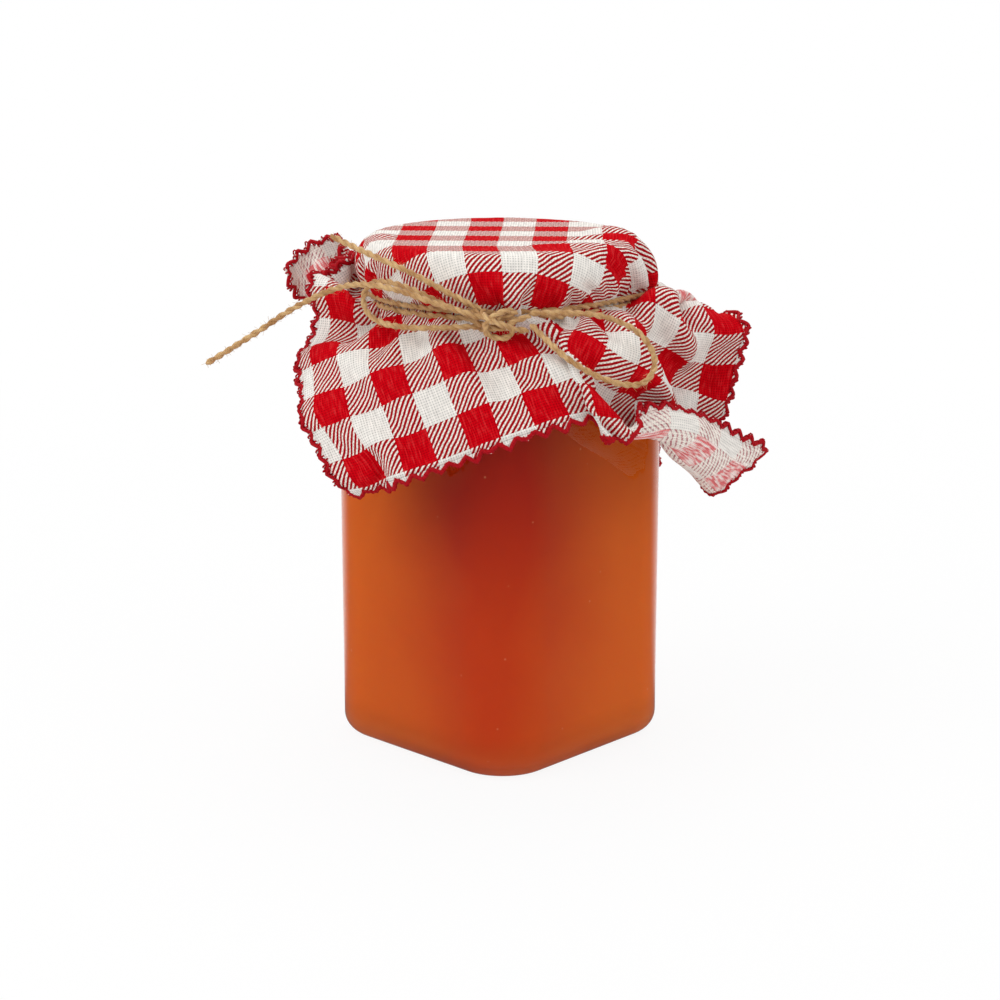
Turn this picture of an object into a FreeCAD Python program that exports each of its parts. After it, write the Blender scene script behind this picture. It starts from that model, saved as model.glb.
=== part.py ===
import FreeCAD, Part
import math
import os
import Mesh

# A square glass preserving jar of jam, shut with a twist-off lid and dressed with a square of
# gingham cloth that jute twine ties round the neck.  Millimetres, +Z up.  The origin is at the
# middle of the jar's base, and X and Y are square to the jar's flat sides.
# The cover and its twine are laid out in the cover's own frame, turned by cover_turn about Z:
# there +X runs to the flap that hangs lowest on the right and -Y to the knot.

Vector = FreeCAD.Vector
Z_AXIS = Vector(0, 0, 1)

# ---- glass jar ------------------------------------------------------------------------------
jar_side = 68.0            # across the flat sides
jar_corner = 15.5          # radius of the upright corners
jar_height = 131.2         # base to sealing rim
wall = 3.0                 # side walls
base_thickness = 5.5       # glass under the jam
heel_radius = 5.0          # outside, where the sides meet the base
inner_heel = 6.0           # the same edge inside
punt_radius = 24.0         # hollow under the base
punt_depth = 1.6
neck_height = 18.2         # foot of the neck to the sealing rim
shoulder_height = 16.0     # top of the upright corners to the foot of the neck
shoulder_bulge = 11.0      # how far the shoulder stays full before it turns in
neck_radius = 31.3
rim_round = 1.0
bead_reach = 1.6           # bead that the lid's lugs hold under, out from the neck
bead_height = 1.8

# ---- jam ------------------------------------------------------------------------------------
headspace = 9.0            # sealing rim down to the jam
fill_gap = 0.05            # jam to glass

# ---- twist-off lid --------------------------------------------------------------------------
lid_skirt = 10.5           # height of the lid
lid_play = 1.1             # bead to the lid's wall
lid_seat = 0.9             # sealing rim to the lid's top, through the gasket
tin = 0.5                  # sheet steel
lid_edge = 2.2             # rounding of the top edge
panel_inset = 9.0          # lid's wall to the sunk middle of its top
panel_drop = 0.8
panel_slope = 1.6
gasket_overhang = 0.9      # gasket, in from the mouth's wall
gasket_inset = 2.3         # gasket, in from the lid's wall
gasket_depth = 1.2         # gasket beside the rim
curl = 0.9                 # radius of the rolled lower edge
lug_count = 6
lug_sweep = 14.0           # degrees
lug_hold = 0.8             # how far a lug reaches in under the bead
lug_gap = 0.15             # lug to bead

# ---- cloth cover ----------------------------------------------------------------------------
cover_turn = -46.4         # degrees, cover's frame to the jar's
cloth = 0.7                # thickness with its nap
cloth_gap = 0.1            # cloth to lid
cloth_edge = 2.6           # rounding over the lid's edge
gathers = 15               # soft folds round the neck
gather_depth = 0.7
fold_depth = 1.6           # the same folds in the hanging flaps
azimuth_steps = 84
# The hem, corner by corner: azimuth, distance from the axis, drop below the tie, rise of the
# fold above the tie before the cloth turns down.
hem = [
    (-152.0, 54.0, 32.0, -2.0),
    (-134.6, 50.8, 45.0, -4.0),      # front left corner
    (-112.0, 50.0, 38.0, -4.0),
    (-90.0, 52.0, 30.0, -3.0),
    (-68.0, 54.5, 23.5, -2.0),
    (-53.0, 53.0, 26.5, -1.0),       # here the hem turns up and the flap ends in a fold
    (-34.0, 51.5, 38.0, 1.0),
    (-17.0, 56.0, 49.5, 3.0),        # foot of the fold
    (-9.0, 67.5, 39.5, 4.0),         # front right corner
    (0.0, 59.5, 20.0, 4.0),
    (14.0, 54.0, 30.0, 1.0),
    (38.0, 47.0, 54.0, -3.0),        # back right corner
    (60.0, 46.0, 38.0, -3.0),
    (90.0, 48.0, 16.0, -1.0),
    (122.0, 57.0, 6.0, 3.0),
    (142.5, 74.5, 1.0, 6.0),         # back left corner
    (163.0, 58.0, 7.0, 2.0),
    (190.0, 52.0, 19.0, -1.0),
]

# ---- twine ----------------------------------------------------------------------------------
twine = 1.6                # diameter
tie_drop = 3.6             # lid's lower edge to the middle of the two turns
tie_gap = 0.15             # twine to cloth, and turn to turn
gathered = 1.5             # neck to twine, through the gathered cloth
bunch = 6.2                # how much further the bunched folds on the right push the twine
bunch_radius = 16.0
knot_length = 11.0
knot_radius = 3.6
knot_end = 2.6             # radius of its ends, where the strands come out
knot_reach = 4.8           # middle of the turns to the knot's
knot_shift = 1.5
# Routes of the bow's loops and tails, point by point from the knot, with heights from the tie.
left_loop = [(-4.2, -38.4, -1.8), (-14.0, -38.6, -2.2), (-23.5, -35.2, -2.8),
             (-31.0, -28.8, -2.6), (-35.6, -22.8, -1.0), (-37.0, -19.4, 3.4),
             (-33.6, -21.4, 7.6), (-27.4, -27.6, 8.2), (-19.5, -33.2, 5.6),
             (-11.8, -36.6, 2.0), (-4.4, -36.9, 0.2)]
right_loop = [(7.3, -38.4, 1.3), (16.5, -39.2, 1.8), (26.0, -39.4, 0.8),
              (34.5, -38.6, -3.4), (38.2, -41.6, -10.0), (34.8, -46.4, -15.0),
              (26.6, -49.8, -13.6), (17.6, -48.2, -9.2), (11.6, -43.4, -4.8),
              (7.5, -38.9, -1.3)]
short_tail = [(-4.4, -38.4, 2.0), (-12.4, -39.0, 6.4), (-21.8, -36.4, 11.2),
              (-32.0, -29.4, 14.4), (-41.6, -22.0, 17.7)]
long_tail = [(-4.3, -40.0, 0.4), (-14.6, -41.2, 3.8), (-25.8, -36.8, 7.4),
             (-37.0, -28.0, 7.2), (-49.7, -21.0, 0.8), (-62.2, -22.0, -7.6),
             (-73.0, -25.0, -13.8)]
arc_share = 0.45           # share of the shorter run that a bend takes up

# ---- worked out -----------------------------------------------------------------------------
half = jar_side / 2
shoulder_end = jar_height - neck_height
shoulder_start = shoulder_end - shoulder_height
mouth_radius = neck_radius - wall
bead_radius = neck_radius + bead_reach
jam_level = jar_height - headspace
lid_radius = bead_radius + lid_play + tin
lid_top = jar_height + lid_seat
lid_bottom = lid_top - lid_skirt
cloth_top = lid_top + cloth_gap + cloth
cloth_radius = lid_radius + cloth_gap + cloth
lug_top = lid_bottom + 2 * curl
bead_bottom = lug_top + lug_gap
tie_height = lid_bottom - tie_drop
tie_radius = neck_radius + gathered + twine / 2
bunch_reach = tie_radius + bunch
knot_place = Vector(knot_shift, -tie_radius - knot_reach, tie_height)
turn_pitch = twine + tie_gap      # upper turn to lower turn
tie_band = turn_pitch / 2 + twine / 2 + 3 * tie_gap     # half the cloth that the turns press flat


# ---- glass and jam --------------------------------------------------------------------------
def square_prism(half_side, corner, bottom, top):
    """An upright prism whose section is a square with round corners."""
    flat = half_side - corner
    edges = []
    for quarter in range(4):
        turn = FreeCAD.Rotation(Z_AXIS, 90 * quarter)
        start = turn.multVec(Vector(half_side, -flat, bottom))
        end = turn.multVec(Vector(half_side, flat, bottom))
        middle = turn.multVec(Vector(flat + corner * math.sqrt(0.5),
                                     flat + corner * math.sqrt(0.5), bottom))
        far = turn.multVec(Vector(flat, half_side, bottom))
        edges.append(Part.makeLine(start, end))
        edges.append(Part.Arc(end, middle, far).toShape())
    return Part.Face(Part.Wire(edges)).extrude(Z_AXIS * (top - bottom))


def turned(edges):
    """A solid turned about Z from a closed profile in the XZ plane."""
    return Part.Face(Part.Wire(edges)).revolve(Vector(0, 0, 0), Z_AXIS, 360)


def polyline(points):
    """Straight edges through (radius, height) points."""
    corners = [Vector(r, 0, z) for r, z in points]
    return [Part.makeLine(a, b) for a, b in zip(corners, corners[1:])]


def shouldered(inset, bottom, top):
    """The jar's body and neck, its outside if inset is 0 and its inside if inset is the wall."""
    corner = jar_corner - inset
    reach = (half - jar_corner) * math.sqrt(2) + corner
    neck = neck_radius if inset == 0 else mouth_radius - (inset - wall)
    full = reach + 0.5
    start = shoulder_start - 0.4 * inset
    end = shoulder_end - 0.4 * inset
    shoulder = Part.BezierCurve()
    shoulder.setPoles([Vector(full, 0, start), Vector(full, 0, start + shoulder_bulge),
                       Vector(neck + 1, 0, end - 3.0), Vector(neck, 0, end)])
    outline = polyline([(neck, end), (neck, top), (0, top), (0, bottom), (full, bottom),
                        (full, start)])
    dome = turned([shoulder.toShape()] + outline)
    return square_prism(half - inset, corner, bottom, top).common(dome)


def round_bottom(solid, radius, height):
    """Rounds the edges that lie at one height."""
    low = [e for e in solid.Edges
           if abs(e.BoundBox.ZMin - height) < 1e-4 and abs(e.BoundBox.ZMax - height) < 1e-4]
    return solid.makeFillet(radius, low)


def glass_jar():
    outside = round_bottom(shouldered(0, 0, jar_height), heel_radius, 0)
    bead_top = bead_bottom + bead_height
    slope = bead_radius - neck_radius
    bead = turned(polyline([(neck_radius - 1, bead_bottom), (bead_radius, bead_bottom),
                            (bead_radius, bead_top - slope), (neck_radius - 1, bead_top + 1),
                            (neck_radius - 1, bead_bottom)]))
    outside = outside.fuse(bead)
    rim = [e for e in outside.Edges if e.BoundBox.ZMin > jar_height - 1e-4]
    outside = outside.makeFillet(rim_round, rim)
    inside = cavity(0, jar_height + 1)
    sphere = (punt_radius ** 2 + punt_depth ** 2) / (2 * punt_depth)
    punt = Part.makeSphere(sphere, Vector(0, 0, punt_depth - sphere))
    return outside.cut(inside).cut(punt)


def cavity(gap, top):
    """The space that the glass leaves, smaller all round by gap."""
    space = shouldered(wall + gap, base_thickness + gap, top)
    return round_bottom(space, inner_heel, base_thickness + gap)


def jam():
    return cavity(fill_gap, jam_level)


# ---- lid ------------------------------------------------------------------------------------
def lid():
    top = lid_top
    inner = lid_radius - tin
    panel_radius = lid_radius - panel_inset
    sunk = lid_top - panel_drop
    bend = lid_edge * (1 - math.sqrt(0.5))
    edge = Part.Arc(Vector(lid_radius - lid_edge, 0, top),
                    Vector(lid_radius - bend, 0, top - bend),
                    Vector(lid_radius, 0, top - lid_edge)).toShape()
    rest = polyline([(lid_radius, top - lid_edge), (lid_radius, lid_bottom + curl),
                     (inner, lid_bottom + curl), (inner, jar_height - gasket_depth),
                     (lid_radius - gasket_inset, jar_height),
                     (mouth_radius - gasket_overhang, jar_height),
                     (panel_radius, sunk - tin), (0, sunk - tin), (0, sunk),
                     (panel_radius, sunk), (panel_radius + panel_slope, top),
                     (lid_radius - lid_edge, top)])
    shell = turned([edge] + rest)
    roll = Part.makeTorus(lid_radius - curl, curl, Vector(0, 0, lid_bottom + curl))
    shell = shell.fuse(roll)
    lug_foot = lid_radius - curl
    lug_tip = bead_radius - lug_hold
    for index in range(lug_count):
        section = Part.Face(Part.Wire(polyline([
            (lug_tip, lid_bottom + 0.5), (lug_foot, lid_bottom + 0.2),
            (lug_foot, lug_top - 0.2), (lug_tip, lug_top), (lug_tip, lid_bottom + 0.5)])))
        lug = section.revolve(Vector(0, 0, 0), Z_AXIS, lug_sweep)
        lug.rotate(Vector(0, 0, 0), Z_AXIS, 360 / lug_count * index)
        shell = shell.fuse(lug)
    return shell.removeSplitter()


# ---- belt round the neck --------------------------------------------------------------------
bunch_offset = bunch_reach - bunch_radius
belt_angle = math.acos((tie_radius - bunch_radius) / bunch_offset)


def belt_distance(azimuth, inset):
    """Axis to the tie's outline: a large circle round the neck and a small one round the folds."""
    angle = abs(math.atan2(math.sin(azimuth), math.cos(azimuth)))
    large, small = tie_radius - inset, bunch_radius - inset
    leave = math.atan2(small * math.sin(belt_angle), bunch_offset + small * math.cos(belt_angle))
    if angle >= belt_angle:
        return large
    if angle >= leave:
        return large / math.cos(angle - belt_angle)
    across = bunch_offset * math.sin(angle)
    return bunch_offset * math.cos(angle) + math.sqrt(small ** 2 - across ** 2)


# ---- cloth ----------------------------------------------------------------------------------
def hem_at(degrees):
    """Hem radius, drop and rise at an azimuth, by a smooth curve through the hem's points."""
    count = len(hem)
    span = 360.0
    place = (degrees - hem[0][0]) % span
    for index in range(count):
        first = hem[index]
        after = hem[(index + 1) % count]
        low = (first[0] - hem[0][0]) % span
        high = (after[0] - hem[0][0]) % span or span
        if low <= place <= high:
            before, beyond = hem[index - 1], hem[(index + 2) % count]
            share = (place - low) / (high - low)
            width = high - low
            width_before = (first[0] - before[0]) % span
            width_beyond = (beyond[0] - after[0]) % span
            return [hermite(before[k], first[k], after[k], beyond[k],
                            width_before, width, width_beyond, share) for k in (1, 2, 3)]


def hermite(p0, p1, p2, p3, before, width, beyond, t):
    """A cubic between p1 and p2 whose slopes come from the points on either side."""
    slope1 = 0.7 * (p2 - p0) / (before + width) * width
    slope2 = 0.7 * (p3 - p1) / (width + beyond) * width
    return (p1 * (2 * t ** 3 - 3 * t ** 2 + 1) + slope1 * (t ** 3 - 2 * t ** 2 + t)
            + p2 * (3 * t ** 2 - 2 * t ** 3) + slope2 * (t ** 3 - t ** 2))


def cloth_rings():
    """The outer face as rings of points, from the lid's middle to the hem."""
    azimuths = [2 * math.pi * k / azimuth_steps for k in range(azimuth_steps)]
    flat = cloth_radius - cloth_edge
    rings = [[(flat * share, cloth_top) for _ in azimuths] for share in (0.4, 0.75, 1.0)]
    for degrees in (30, 60, 90):
        a = math.radians(degrees)
        rings.append([(flat + cloth_edge * math.sin(a), cloth_top - cloth_edge * (1 - math.cos(a)))
                      for _ in azimuths])
    rolled = cloth_top - cloth_edge
    tie_inset = twine / 2 + tie_gap
    for share in (0.5, 1.0):
        ring = []
        for a in azimuths:
            fold = gather_depth * (1 + math.sin(gathers * a)) * (0.4 + 0.6 * share)
            full = max(belt_distance(a, tie_inset), cloth_radius)
            ring.append((full + fold, rolled + (lid_bottom - rolled) * share))
        rings.append(ring)
    for height in (tie_height + tie_band, tie_height - tie_band):
        rings.append([(belt_distance(a, tie_inset), height) for a in azimuths])
    foot = tie_height - tie_band
    for share in (0.14, 0.28, 0.43, 0.58, 0.72, 0.86, 1.0):
        ring = []
        for a in azimuths:
            tied = belt_distance(a, tie_inset)
            reach, drop, rise = hem_at(math.degrees(a))
            out = tied + 0.62 * (reach - tied)
            fold = fold_depth * math.sin(gathers * a) * math.sin(math.pi * share) ** 2
            near, far = (1 - share) ** 2, share ** 2
            mid = 1 - near - far
            ring.append((near * tied + mid * out + far * reach + fold,
                         near * foot + mid * (foot + rise) + far * (tie_height - drop)))
        rings.append(ring)
    return [[Vector(r * math.cos(a), r * math.sin(a), z) for (r, z), a in zip(ring, azimuths)]
            for ring in rings]


def cloth_cover():
    """A thin closed skin: the rings outside, the same rings a cloth's thickness inside."""
    outer = cloth_rings()
    count = len(outer)
    inner = []
    for row, ring in enumerate(outer):
        above = outer[max(row - 1, 0)]
        below = outer[min(row + 1, count - 1)]
        shifted = []
        for k, point in enumerate(ring):
            down = below[k] - above[k]
            along = ring[(k + 1) % azimuth_steps] - ring[k - 1]
            normal = along.cross(down).normalize() if row else Z_AXIS
            if normal.dot(Vector(point.x, point.y, 40.0)) < 0:
                normal = normal * -1
            shifted.append(point - normal * cloth)
        inner.append(shifted)
    facets = []
    for rings, outwards in ((outer, True), (inner, False)):
        height = cloth_top if outwards else cloth_top - cloth
        for k in range(azimuth_steps):
            near, far = k, (k + 1) % azimuth_steps
            add_facet(facets, Vector(0, 0, height), rings[0][near], rings[0][far], outwards)
            for upper, lower in zip(rings, rings[1:]):
                add_facet(facets, upper[near], lower[near], lower[far], outwards)
                add_facet(facets, upper[near], lower[far], upper[far], outwards)
    for k in range(azimuth_steps):
        near, far = k, (k + 1) % azimuth_steps
        add_facet(facets, outer[-1][near], inner[-1][near], inner[-1][far], True)
        add_facet(facets, outer[-1][near], inner[-1][far], outer[-1][far], True)
    skin = Part.Shape()
    skin.makeShapeFromMesh(Mesh.Mesh(facets).Topology, 0.001)
    return Part.makeSolid(skin)


def add_facet(facets, a, b, c, outwards):
    corners = (a, b, c) if outwards else (a, c, b)
    facets.append([tuple(p) for p in corners])


# ---- twine ----------------------------------------------------------------------------------
def tube_along(edges, diameter):
    """A round tube along straight and circular edges that run on smoothly."""
    solid = None
    for edge in edges:
        start = edge.valueAt(edge.FirstParameter)
        direction = edge.tangentAt(edge.FirstParameter)
        disc = Part.Face(Part.Wire(Part.makeCircle(diameter / 2, start, direction)))
        if edge.Curve.TypeId == "Part::GeomLine":
            piece = disc.extrude(edge.valueAt(edge.LastParameter) - start)
        else:
            sweep = math.degrees(edge.Length / edge.Curve.Radius)
            axis = (start - edge.Curve.Center).cross(direction)
            piece = disc.revolve(edge.Curve.Center, axis, sweep)
        solid = piece if solid is None else solid.fuse(piece)
    return solid.removeSplitter()


def bent_route(points):
    """Straight runs through the points, each corner rounded as far as its runs allow."""
    points = [Vector(x, y, tie_height + z) for x, y, z in points]
    edges, start, radii = [], points[0], []
    for before, corner, after in zip(points, points[1:], points[2:]):
        into, out = corner - before, after - corner
        turn = into.getAngle(out)
        cut = arc_share * min(into.Length, out.Length)
        radii.append(cut / math.tan(turn / 2))
        enter = corner - into.normalize() * cut
        leave = corner + out.normalize() * cut
        bisector = (out - into).normalize()
        centre = corner + bisector * math.hypot(cut, radii[-1])
        middle = centre - bisector * radii[-1]
        edges.append(Part.makeLine(start, enter))
        edges.append(Part.Arc(enter, middle, leave).toShape())
        start = leave
    edges.append(Part.makeLine(start, points[-1]))
    return edges, radii


def free_twine(name, points):
    edges, radii = bent_route(points)
    length = sum(edge.Length for edge in edges)
    print(name, "length %.1f mm, tightest bend %.1f mm" % (length, min(radii)))
    tube = tube_along(edges, twine)
    section = math.pi * twine ** 2 / 4
    print("  volume over section times length %.4f" % (tube.Volume / (section * length)))
    return tube


def neck_turn(height):
    """One tight turn of twine: two arcs joined by two straight runs."""
    leave = Vector(math.cos(belt_angle), math.sin(belt_angle), 0)
    mirror = Vector(leave.x, -leave.y, 0)
    neck, folds = Vector(0, 0, height), Vector(bunch_offset, 0, height)
    large, small = tie_radius, bunch_radius
    a, b = neck + leave * large, neck + mirror * large
    c, d = folds + mirror * small, folds + leave * small
    edges = [Part.Arc(a, neck - Vector(large, 0, 0), b).toShape(), Part.makeLine(b, c),
             Part.Arc(c, folds + Vector(small, 0, 0), d).toShape(), Part.makeLine(d, a)]
    return tube_along(edges, twine)


def knot():
    """The knot's outer shape: a barrel with a waist between its two turns."""
    end, belly, waist = knot_length / 2, knot_radius, knot_radius * 0.82
    swell = Part.BSplineCurve()
    swell.interpolate([Vector(-end, 0, knot_end), Vector(-end * 0.5, 0, belly),
                       Vector(0, 0, waist), Vector(end * 0.5, 0, belly),
                       Vector(end, 0, knot_end)])
    ends = [Part.makeLine(Vector(end, 0, knot_end), Vector(end, 0, 0)),
            Part.makeLine(Vector(end, 0, 0), Vector(-end, 0, 0)),
            Part.makeLine(Vector(-end, 0, 0), Vector(-end, 0, knot_end))]
    face = Part.Face(Part.Wire([swell.toShape()] + ends))
    solid = face.revolve(Vector(0, 0, 0), Vector(1, 0, 0), 360)
    solid.translate(knot_place)
    return solid


# ---- build ----------------------------------------------------------------------------------
def save(name, shape):
    solid = shape if shape.ShapeType == "Solid" else shape.Solids[0]
    print(name, solid.isValid(), len(shape.Solids), "volume %.1f" % solid.Volume)
    solid.exportStep("parts/%s.step" % name)


def main():
    os.makedirs("parts", exist_ok=True)
    save("glass_jar", glass_jar())
    save("jam", jam())
    save("lid", lid())
    dressing = {
        "cloth_cover": cloth_cover(),
        "twine_turn_upper": neck_turn(tie_height + turn_pitch / 2),
        "twine_turn_lower": neck_turn(tie_height - turn_pitch / 2),
        "twine_knot": knot(),
        "twine_loop_left": free_twine("twine_loop_left", left_loop),
        "twine_loop_right": free_twine("twine_loop_right", right_loop),
        "twine_end_short": free_twine("twine_end_short", short_tail),
        "twine_end_long": free_twine("twine_end_long", long_tail),
    }
    for name, shape in dressing.items():
        shape.rotate(Vector(0, 0, 0), Z_AXIS, cover_turn)
        save(name, shape)


main()
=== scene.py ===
import math

import bmesh
import bpy
import numpy as np
from bpy.props import FloatProperty, FloatVectorProperty, IntProperty, PointerProperty
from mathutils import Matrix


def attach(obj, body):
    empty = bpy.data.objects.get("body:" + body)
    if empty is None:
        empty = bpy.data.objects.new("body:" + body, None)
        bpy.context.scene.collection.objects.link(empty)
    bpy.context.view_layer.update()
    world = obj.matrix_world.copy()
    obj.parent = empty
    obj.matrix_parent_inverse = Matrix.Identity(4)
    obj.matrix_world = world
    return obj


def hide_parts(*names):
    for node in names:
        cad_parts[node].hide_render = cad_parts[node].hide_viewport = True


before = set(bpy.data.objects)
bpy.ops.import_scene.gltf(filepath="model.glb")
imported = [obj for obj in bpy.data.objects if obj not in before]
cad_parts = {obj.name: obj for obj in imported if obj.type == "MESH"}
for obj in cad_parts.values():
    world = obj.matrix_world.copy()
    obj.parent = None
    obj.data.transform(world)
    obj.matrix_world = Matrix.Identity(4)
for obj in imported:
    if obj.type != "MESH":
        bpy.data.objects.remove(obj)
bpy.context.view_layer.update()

# A square glass preserving jar of jam under a red and white gingham cover, tied with jute twine.
# The cover and its twine are laid out in the cover's own frame, in millimetres: +X runs to the
# flap that hangs lowest on the right and -Y to the knot.  jar_place() turns them into the jar's.

bl_info = {
    "name": "Gingham Preserving Jar",
    "version": (1, 0, 0),
    "blender": (4, 5, 0),
    "location": "3D View > Sidebar > Preserving Jar",
    "description": "Dresses a square jar of jam with a gingham cover, jute twine, glass and light",
    "category": "Object",
}

BODY = "root"
COVER_TURN = math.radians(-46.4)      # cover's frame to the jar's
CLOTH_LEAN = math.radians(-2.5)       # how far the cloth's threads are turned in the cover's frame
LEFT_HEM, RIGHT_HEM, FRONT_HEM, BACK_HEM = -7.45, 10.0, -9.85, 8.2    # in checks from the axis
PRINT_SHIFT = 0.25                    # the print on the cloth, towards the front, in checks

# ---- twine: routes of the bow's loops and tails, from the knot, heights from the base ----------
LEFT_LOOP = [(-4.2, -38.4, 116.2), (-14.0, -38.6, 115.8), (-23.5, -35.2, 115.2),
             (-30.0, -29.6, 115.6), (-33.4, -24.6, 117.6), (-34.0, -22.4, 121.4),
             (-31.6, -24.0, 124.8), (-26.6, -28.4, 125.4), (-19.5, -33.2, 123.6),
             (-11.8, -36.6, 120.0), (-4.4, -36.9, 118.2)]
RIGHT_LOOP = [(7.3, -38.4, 119.3), (16.5, -39.2, 119.8), (26.0, -39.4, 118.8),
              (34.5, -38.6, 114.6), (38.2, -41.6, 108.0), (34.8, -46.4, 103.0),
              (26.6, -49.8, 104.4), (17.6, -48.2, 108.8), (11.6, -43.4, 113.2),
              (7.5, -38.9, 116.7)]
SHORT_TAIL = [(-4.4, -38.4, 120.0), (-12.4, -39.0, 124.4), (-21.8, -36.4, 129.2),
              (-32.0, -29.4, 132.4), (-41.6, -22.0, 135.7)]
LONG_TAIL = [(-4.3, -40.0, 118.4), (-14.6, -41.2, 121.8), (-25.8, -36.8, 125.4),
             (-37.0, -28.0, 125.2), (-49.7, -21.0, 118.8), (-62.2, -22.0, 110.4),
             (-73.0, -25.0, 104.2)]
KNOT_MIDDLE = (-0.6, -38.6, 117.4)
KNOT_ROUTES = [
    # the band that holds the bow
    [(3.6, 1.0, 2.4), (1.8, -2.0, 3.0), (-1.2, -3.2, 1.8), (-3.2, -3.0, -0.6), (-2.6, -2.0, -3.0),
     (0.4, -1.6, -4.0), (3.2, -1.8, -3.4), (3.6, -2.6, -1.2), (1.2, -3.7, -0.2), (-2.0, -3.4, 0.9),
     (-4.2, -1.2, 2.2), (-3.0, 1.4, 2.6)],
    # the strands that it grips, left to right
    [(-6.4, 0.4, 2.8), (-3.0, -1.4, 1.6), (0.4, -2.4, -0.2), (3.4, -2.6, -1.6), (7.4, -0.4, -2.2)],
    [(-6.6, 0.8, 0.6), (-3.2, -1.2, -0.8), (0.2, -2.5, -1.8), (3.6, -1.6, 0.2), (8.0, 0.2, 1.4)],
    [(-4.6, 1.2, -1.8), (-1.6, -0.6, -2.6), (1.4, -0.8, 1.6), (4.8, 0.2, 2.2)],
]
TIE_HEIGHT, TIE_RADIUS = 118.0, 33.6          # middle of the two turns round the neck
BUNCH_REACH, BUNCH_RADIUS = 39.8, 16.0        # the same path where the folds bunch on the right
TURN_PITCH = 1.75

# ---- cloth: where chosen places of the cover hang ----------------------------------------------
# (across, up in checks from the axis, x, y, z)
HANGS = [
    # front flap
    (-6.5, -6.75, -40.7, -36, 95), (-4.5, -6.75, -26.1, -40, 102.6),
    (-2.5, -6.75, -10.8, -41, 108.3), (-0.5, -6.75, 4.9, -40, 110.5),
    (-6.5, -8.75, -31.9, -42, 81), (-4.5, -8.75, -19.7, -46, 87),
    (-2.5, -8.75, -5.3, -48, 93.8), (-0.5, -8.75, 10.4, -48.5, 100),
    (-6.5, -4.75, -43.1, -21, 108.5), (-4.5, -4.75, -27.3, -26, 112.4),
    (-6.5, -2.75, -39.4, -14.6, 118.2), (-7.35, -9.3, -35.5, -37, 74.5),
    (-7.4, -6.75, -47.9, -31, 92.3), (-7.4, -8.75, -39, -38, 79), (-7.4, -4.75, -49.6, -16, 105),
    # pleat: the right flap's folded edge lies over the front flap
    (2.75, -9.75, 25, -52, 94.6), (1.65, -9.75, 30.5, -48.2, 93), (0.6, -9.75, 23.8, -48.8, 94.8),
    (2.75, -8.75, 20.7, -50.2, 102.4), (1.65, -8.75, 28, -47, 101), (0.6, -8.75, 20, -47.4, 102),
    (2.75, -7.75, 17, -46, 107.8), (1.65, -7.75, 24, -43, 107), (0.6, -7.75, 16.5, -43.6, 107.6),
    (2.75, -6.75, 14.2, -41.4, 112.8), (1.65, -6.75, 20.6, -38.3, 112),
    (0.6, -6.75, 13.5, -39.2, 113),
    # right flap
    (3.5, -6.75, 20.4, -42, 110.1), (3.5, -8.75, 25.1, -49.8, 99.9),
    (4.5, -5.75, 28.3, -38, 111.3), (3.5, -9.75, 28, -49.8, 93.4), (4, -9.75, 30, -51, 93.6),
    (4.4, -9.75, 31, -47.5, 93.4), (3.5, -7.75, 22.8, -46.5, 105),
    (5.5, -4.75, 33.1, -30, 111.7), (5.5, -6.75, 33.7, -36, 102.8), (6.5, -5.75, 39.2, -26, 101.6),
    (6.5, -7.75, 35.4, -36, 96),
    (6.2, -1.8, 39.8, -6, 116.8), (6.2, -0.3, 41, 3, 115.5), (7.5, -0.3, 47, 6, 113.5),
    (8.5, -0.3, 51, 10, 111.5), (6.5, -3.75, 39, -17, 110), (6.6, -1, 42, -2, 116.2),
    (7.5, -2.75, 43.2, -14, 113.7), (9.5, -2.75, 57.5, -5, 110.2), (7.5, -4.75, 43.4, -14, 102),
    (9.5, -4.75, 55, -8, 93.7), (8.5, -3.75, 50.5, -8, 105), (8.5, -2.75, 50.3, -9, 112.5),
    (8.5, -1.75, 49.6, 0, 116.2), (7.5, -1.6, 43, -4, 117.7), (9.9, -2.2, 55, 0, 113),
    (9.2, -2.2, 53, 1, 114.4), (9.9, -1.2, 54, 8.5, 109.5),
    (9.9, -3.75, 59.5, -4, 104.9), (9.9, -4.75, 57.5, -7, 96.9), (9.9, -5.6, 55.4, -8, 87.3),
    (8.5, -5.75, 47.2, -14, 93.1), (7.5, -5.75, 43, -18, 96.9),
    # its front edge, turned up as a cuff that shows the reverse
    (5, -9.7, 33.9, -42, 92.6), (5.6, -9.7, 37.6, -39, 93.6), (9.9, -7.9, 52.8, -13, 68.1),
    (7.5, -7.7, 43, -27, 80.5),
    (5.5, -8.75, 35.5, -40.5, 89.6), (6.5, -8.75, 41.5, -36, 87.5), (7.5, -8.75, 48.5, -29, 83),
    (9.5, -8.75, 56, -18, 74), (9.9, -9.75, 66.6, -12, 78.6), (6.5, -9.7, 45, -34, 92.2),
    (7.4, -9.7, 52, -27.5, 88.2), (8.5, -9.7, 58.5, -21, 82.8), (9.5, -6.5, 54, -9, 80),
    # back left corner, raised, and the left hem
    (-7.4, 8.1, -55.8, 38, 117.5), (-7.4, 5.9, -42, 40, 123.5), (-6.5, 7.25, -48.6, 38, 116.8),
    (-6.45, 8.1, -53, 40, 110.8), (-7.4, -2.75, -45.5, -10, 117.6), (-7.4, 0.0, -40, 5, 121.6),
    (-7.4, 1.5, -38, 14, 123.5),
    # back hem and back right corner
    (9.9, 8.1, 36, 36, 48), (9.9, 0.0, 52, 18, 104), (1.0, 8.1, 6, 46, 107),
    (-3.5, 8.1, -24, 46, 108), (6.5, 8.1, 28, 40, 92), (9.9, 4, 44, 30, 76),
]
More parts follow.
